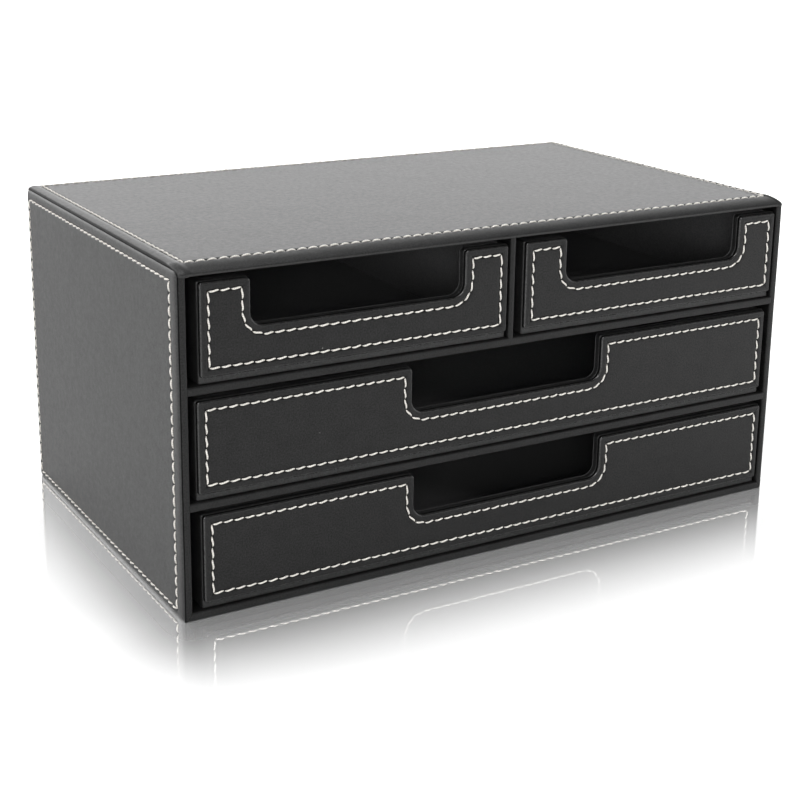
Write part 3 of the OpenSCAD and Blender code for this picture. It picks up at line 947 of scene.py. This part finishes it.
def between(tree, value, low, high, first=0.0, last=1.0, **settings):
    """Maps a value that runs from first to last to low and high, and no further."""
    steps = {"Value": value, "From Min": first, "From Max": last, "To Min": low, "To Max": high}
    return add_node(tree, "MapRange", steps, **settings).outputs["Result"]


def mix(tree, share, low, high):
    """A colour between low and high, by a share from 0 to 1."""
    return add_node(tree, "Mix", {0: share, 6: low, 7: high}, data_type="RGBA").outputs[2]


def bump(tree, height, strength, distance, **over):
    """The normal that a pattern of heights gives, over another bump's if there is one."""
    values = {"Height": height, "Strength": strength, "Distance": distance, **over}
    return add_node(tree, "Bump", values).outputs[0]


def grey(value):
    """A grey as red, green, blue and alpha."""
    return (value, value, value, 1)


def new_material(name):
    """An empty node material and its Principled shader."""
    material = bpy.data.materials.new(name)
    material.use_nodes = True
    return material, material.node_tree, material.node_tree.nodes["Principled BSDF"]


def pattern(tree, kind, scale, **values):
    """A noise or Voronoi texture on Object coordinates; scale counts features per metre."""
    coordinates = add_node(tree, "TexCoord").outputs["Object"]
    return add_node(tree, kind, {"Vector": coordinates, "Scale": scale, **values})


def spread(tree, value, low, high):
    """Maps a noise's middle range, 0.3 to 0.7, to low and high."""
    return between(tree, value, low, high, 0.3, 0.7)

# %% [markdown]
# ### Leather
#
# Smooth leather has a fine grain of pores and creases, well under a millimetre across. The
# creases are the borders of Voronoi cells, and a fine noise breaks them up. Under the
# grain the surface isn't quite flat, so a second, much wider bump bends the reflections.
# A few pale specks of lint lie on it.
#
# There are two leathers, made by one function. The one on the faces and the front edges is
# a shaded copy of the other: its blacker colour and lower shine are painted shade for the
# front, and its stronger grain is its own. The one on the outside has more shine. Both
# get painted shade, a darker colour and less gloss, where the mesh marks a groove, a seam
# or a joint.

# %% Leather
LINT_R = 0.012                    # size of a speck, as a share of its cell
LINT_RARE = 0.8                   # four cells in five have none
LINT_COLOUR = (0.2, 0.2, 0.19, 1)
# painted shade: the colour and the specular level where the mesh marks full shade
PAINTED_SHADE_COLOUR = grey(0.004)
PAINTED_SHADE_SHINE = 0.03               # specular level where shade is painted in full
RUBBED_SHINE = 1.0                # and on a rubbed rim,
RUBBED_ROUGH = 0.2                # which is this much less rough, for each 1 more shine


def leather_colour(tree, base, painted_shade_and_rub):
    """Black with slow clouds, rare specks of lint, and painted shade where the mesh marks it."""
    tone = pattern(tree, "TexNoise", 130, Detail=4.0).outputs["Fac"]
    colour = mix(tree, spread(tree, tone, 0, 1), grey(base * 0.75), grey(base * 1.3))
    lint = pattern(tree, "TexVoronoi", 42).outputs
    near = work_out(tree, "LESS_THAN", lint["Distance"], LINT_R)
    chance = add_node(tree, "SeparateColor", {0: lint["Color"]}).outputs[0]
    rare = work_out(tree, "GREATER_THAN", chance, LINT_RARE)
    specks = mix(tree, work_out(tree, "MULTIPLY", near, rare), colour, LINT_COLOUR)
    return mix(tree, painted_shade_and_rub, specks, PAINTED_SHADE_COLOUR)


def leather_gloss(tree, roughness, shine, painted_shade_and_rub):
    """Specular level and roughness: dulled by the painted shade, shiny where the rims are rubbed.
    """
    rim = between(tree, painted_shade_and_rub, RUBBED_SHINE - shine, 0, first=-1, last=0)
    level = work_out(tree, "ADD", between(tree, painted_shade_and_rub, shine, PAINTED_SHADE_SHINE), rim)
    fine = pattern(tree, "TexNoise", 1400, Detail=2.0).outputs["Fac"]
    level = work_out(tree, "MULTIPLY", level, spread(tree, fine, 0.7, 1.3))
    sheen = pattern(tree, "TexNoise", 420, Detail=3.0).outputs["Fac"]
    rough = spread(tree, sheen, roughness - 0.03, roughness + 0.04)
    return level, work_out(tree, "MULTIPLY_ADD", rim, -RUBBED_ROUGH, rough)


def leather_grain(tree, grain):
    """Three bumps on each other: wide waves, a net of creases, and pores."""
    waves = pattern(tree, "TexNoise", 45, Detail=2.0).outputs["Fac"]
    bend = bump(tree, waves, 0.09, 0.0005)
    creases = pattern(tree, "TexVoronoi", 1150)
    creases.feature = "DISTANCE_TO_EDGE"
    fold = bump(tree, creases.outputs["Distance"], grain, 0.00012, Normal=bend)
    pores = pattern(tree, "TexNoise", 2300, Detail=3.0).outputs["Fac"]
    return bump(tree, pores, grain, 0.0001, Normal=fold)


def leather(name, base, roughness, grain, shine):
    """Black leather: base colour, mean roughness, the strength of its grain, its shine."""
    material, tree, shader = new_material(name)
    # the painted shade from the mesh, below zero on rubbed rims
    painted_shade_and_rub = add_node(tree, "Attribute", attribute_name="painted_shade").outputs["Fac"]
    level, rough = leather_gloss(tree, roughness, shine, painted_shade_and_rub)
    fill(shader, {"IOR": 1.5, "Specular IOR Level": shine})
    fill(shader, {"Base Color": leather_colour(tree, base, painted_shade_and_rub), "Specular IOR Level": level,
                  "Roughness": rough, "Normal": leather_grain(tree, grain)})
    return material

# %% [markdown]
# ### Lining, board and thread
#
# The lining is black flock: it takes in light, and only its fibres, seen edge on, are a
# little paler. Its colour here is lifted from black to a dark grey, painted light for the
# shaded insides of the drawers. The raw boards show under the drawers. They are
# fibreboard, a tan ground with short dark and light fibres. The thread is cream, and its
# twist is a wave that runs askew over the stitch's own map, the only pattern here that
# doesn't read Object coordinates, because it has to follow each stitch.

# %% Lining, board and thread
def flock(name):
    """Matt flock with a faint sheen, lifted from black to dark grey as painted light inside."""
    material, tree, shader = new_material(name)
    tufts = pattern(tree, "TexNoise", 1500, Detail=4.0).outputs["Fac"]
    # dark grey, not black: painted light for the drawers' shaded insides
    dark, pale = (0.07, 0.07, 0.071, 1), (0.11, 0.11, 0.112, 1)
    fill(shader, {"Base Color": mix(tree, spread(tree, tufts, 0, 1), dark, pale),
                  "Normal": bump(tree, tufts, 0.6, 0.0003),
                  "Roughness": 0.95, "Specular IOR Level": 0.2, "Sheen Weight": 0.06})
    return material


def fibreboard(name):
    """Raw fibreboard: a tan ground, cloudy at a few centimetres, with fine fibres."""
    material, tree, shader = new_material(name)
    clouds = pattern(tree, "TexNoise", 60, Detail=3.0).outputs["Fac"]
    dark, pale = (0.25, 0.165, 0.095, 1), (0.4, 0.285, 0.175, 1)
    ground = mix(tree, spread(tree, clouds, 0, 1), dark, pale)
    fibres = pattern(tree, "TexNoise", 1300, Detail=6.0, Distortion=1.5).outputs["Fac"]
    colour = work_out_vector(tree, "MULTIPLY", ground, spread(tree, fibres, 0.75, 1.2))[0]
    fill(shader, {"Base Color": colour, "Normal": bump(tree, fibres, 0.4, 0.0002),
                  "Roughness": 0.8})
    return material


def thread(name):
    """Cream thread: three plies that wind round the stitch."""
    material, tree, shader = new_material(name)
    ply = add_node(tree, "UVMap", uv_map="twist").outputs[0]
    turned = add_node(tree, "Mapping", {"Vector": ply, "Scale": (6.0, 2.0, 1.0)}).outputs[0]
    wave = add_node(tree, "TexWave", {"Vector": turned, "Scale": 0.5, "Distortion": 0.3},
                    bands_direction="DIAGONAL").outputs["Fac"]
    low, high = (0.56, 0.53, 0.48, 1), (0.76, 0.74, 0.705, 1)
    fill(shader, {"Base Color": mix(tree, wave, low, high),
                  "Normal": bump(tree, wave, 0.5, 0.00015), "Roughness": 0.7})
    return material


FINISHES = {
    "leather": leather("black leather", base=0.012, roughness=0.42, grain=0.16, shine=0.49),
    # a shaded copy: its darker base colour and lower shine are painted shade for the front
    "face_leather": leather("drawer face leather", base=0.006, roughness=0.36, grain=0.45,
                            shine=0.31),
    "lining": flock("black flock"),
    "board": fibreboard("raw fibreboard"),
    "thread": thread("cream thread"),
}
node_slots = {part["node"]: part["material_slot"] for part in frame["record"]["subparts"]}
finished = [(item, node_slots[node]) for node, item in frame["nodes"].items()] + PIECES
for item, slot in finished:
    item.data.materials.clear()
    item.data.materials.append(FINISHES[slot])
print(len(finished), "objects finished")

# %% [markdown]
# ## The floor
#
# A polished white floor mirrors the cabinet softly, most strongly where the two meet. A
# fully glossy floor would mirror all of it, so the gloss is mixed in by the distance from
# the cabinet's footprint and fades out over a few centimetres. Farther away the floor goes
# over into plain white: the camera sees a little light in it, which nothing else does, so
# it lights no leather and keeps the cabinet's shadow.

# %% Floor
FLOOR_HALF = 4.0               # half the floor's width, in metres
FLOOR_GREY = 0.88
MIRROR = 0.8                   # how much the floor mirrors at the cabinet's foot
MIRROR_FADE = (0.032, 0.053)   # metres over which that falls to a third, beside and in front
MIRROR_ROUGH = 0.012
GLOW = (0.25, 0.9)             # light in the floor as the camera sees it, near and far,
GLOW_AT = (0.1, 0.7)           # and how many metres off that is


def footprint_distance(tree):
    """How far a floor point lies outside the footprint: |p| - half size, where positive.

    Returns that vector and its length.
    """
    point = add_node(tree, "TexCoord").outputs["Object"]
    half = (cad_high[0], cad_high[1], 0.0)
    past = work_out_vector(tree, "SUBTRACT", work_out_vector(tree, "ABSOLUTE", point)[0], half)[0]
    outside = work_out_vector(tree, "MAXIMUM", past, (0, 0, 0))[0]
    return outside, work_out_vector(tree, "LENGTH", outside)["Value"]


def floor_material():
    """Matt white that turns into a mirror near the footprint: MIRROR times exp(-(d / fade)^2)."""
    material, tree, shader = new_material("white floor")
    tree.nodes.remove(shader)
    seen = add_node(tree, "LightPath").outputs["Is Camera Ray"]
    outside, distance = footprint_distance(tree)
    lift = work_out(tree, "MULTIPLY", between(tree, distance, *GLOW, *GLOW_AT), seen)
    matt = add_node(tree, "BsdfDiffuse", {"Color": grey(FLOOR_GREY)}).outputs[0]
    glow = add_node(tree, "Emission", {"Color": grey(1), "Strength": lift}).outputs[0]
    white = add_node(tree, "AddShader", {0: matt, 1: glow}).outputs[0]
    mirror = {"Color": grey(1), "Roughness": MIRROR_ROUGH}
    gloss = add_node(tree, "BsdfAnisotropic", mirror).outputs[0]
    scaled = work_out_vector(tree, "DIVIDE", outside, (*MIRROR_FADE, 1))[0]
    square = work_out_vector(tree, "DOT_PRODUCT", scaled, scaled)["Value"]
    fade = work_out(tree, "EXPONENT", work_out(tree, "MULTIPLY", square, -1))
    share = work_out(tree, "MULTIPLY", work_out(tree, "MULTIPLY", fade, MIRROR), seen)
    mixed = add_node(tree, "MixShader", {0: share, 1: white, 2: gloss}).outputs[0]
    fill(tree.nodes["Material Output"], {"Surface": mixed})
    return material


floor_mesh = bpy.data.meshes.new("floor")
corners = [(FLOOR_HALF * x, FLOOR_HALF * y, 0) for x, y in ((-1, -1), (1, -1), (1, 1), (-1, 1))]
floor_mesh.from_pydata(corners, [], [(0, 1, 2, 3)])
floor_mesh.materials.append(floor_material())
floor = bpy.data.objects.new("floor", floor_mesh)
bpy.context.scene.collection.objects.link(floor)
floor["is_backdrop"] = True
print(f"a floor of {2 * FLOOR_HALF:.0f} m that mirrors over {MIRROR_FADE[1] / MM:.0f} mm")

# %% [markdown]
# ## The surround
#
# Black leather shows what stands around it, so the surround is where its brightness comes
# from. It is a studio: bright low down, dim overhead, and brighter behind the cabinet than
# in front of it. So the top, seen at a slant, comes out paler than the faces. One soft
# bright spot high on the left lights up the rolled rims. The camera itself sees white.

# %% Surround
HORIZON, OVERHEAD = 1.75, 0.2     # strength of the light low down and overhead,
FALLS = (0.2, 0.46)               # and the heights between which it falls
TO_RIGHT = 0.4                    # it grows towards the back, and this much to the right,
TURN = (-1.0, 1.1)                # from the front to the back,
DIMMER, BRIGHTER = 0.5, 1.8       # by these shares
SPOT = 16                         # strength of the spot,
SPOT_WAY = (-0.47, -0.53, 0.705)  # the way to it,
SPOT_EDGE = 0.98                  # and the cosine of its half width


def surround():
    """The studio as a world, as strong as height times turn plus spot.

    Height and spot are smooth steps, and turn is a straight line along y + TO_RIGHT times x.
    """
    world = bpy.data.worlds.new("white surround")
    world.use_nodes = True
    tree = world.node_tree
    direction = add_node(tree, "TexCoord").outputs["Generated"]
    way = add_node(tree, "SeparateXYZ", {0: direction}).outputs
    smooth = {"interpolation_type": "SMOOTHSTEP"}
    by_height = between(tree, way["Z"], HORIZON, OVERHEAD, *FALLS, **smooth)
    turn = work_out(tree, "MULTIPLY_ADD", way["X"], TO_RIGHT, way["Y"])
    by_turn = between(tree, turn, DIMMER, BRIGHTER, *TURN)
    near = work_out_vector(tree, "DOT_PRODUCT", direction, SPOT_WAY)["Value"]
    spot = between(tree, near, 0, SPOT, SPOT_EDGE, **smooth)
    strength = work_out(tree, "MULTIPLY_ADD", by_height, by_turn, spot)
    seen = add_node(tree, "LightPath").outputs["Is Camera Ray"]
    mixed = add_node(tree, "Mix", {"Factor": seen, "A": strength, "B": 1.0}).outputs[0]
    fill(tree.nodes["Background"], {"Color": grey(1), "Strength": mixed})
    return world


bpy.context.scene.world = surround()
bpy.context.scene.view_settings.view_transform = "Standard"
print(f"a surround of strength {HORIZON} low down and {OVERHEAD} overhead")

# %% [markdown]
# ## The lamps
#
# A large lamp overhead and one behind soften the shadow, and three small weak ones in
# front and at the sides lift the faces and the threads. A lamp would show on the mirroring
# floor as a hard patch, so those three are kept out of the gloss.

# %% Lamps
AIM = Vector((0, 0, 0.08))     # all lamps face the cabinet's middle
LAMPS = [                      # name, place, size, watts, and whether it shows in the gloss
    ("ceiling", (-0.35, 0.1, 1.5), 1.3, 11, True),
    ("rim", (-0.45, 1.5, 0.9), 1.2, 6, True),
    ("front", (-0.5, -0.86, 0.25), 0.3, 2.6, False),
    ("right", (0.55, -0.6, 0.3), 0.3, 2.0, False),
    ("side", (-0.5, -0.15, 0.3), 0.25, 0.2, False),
]


def soft_lamp(name, place, size, watts, mirrored):
    """A square lamp that faces AIM; only a mirrored one shows in the gloss."""
    lamp = bpy.data.objects.new(name, bpy.data.lights.new(name, "AREA"))
    lamp.data.size = size
    lamp.data.energy = watts
    lamp.visible_glossy = mirrored
    lamp.location = place
    lamp.rotation_euler = (AIM - Vector(place)).to_track_quat("-Z", "Y").to_euler()
    bpy.context.scene.collection.objects.link(lamp)


for row in LAMPS:
    soft_lamp(*row)
print(len(LAMPS), "lamps,", sum(watts for _, _, _, watts, _ in LAMPS), "W together")

# %% [markdown]
# ## Finish
#
# The visual box is printed, to set beside the frame's box printed at the start, so that a
# piece that grew past the frame shows.

# %% Sizes and the end
low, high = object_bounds()
print("visual box in mm:", [round(v / MM, 1) for v in (*low, *high)])
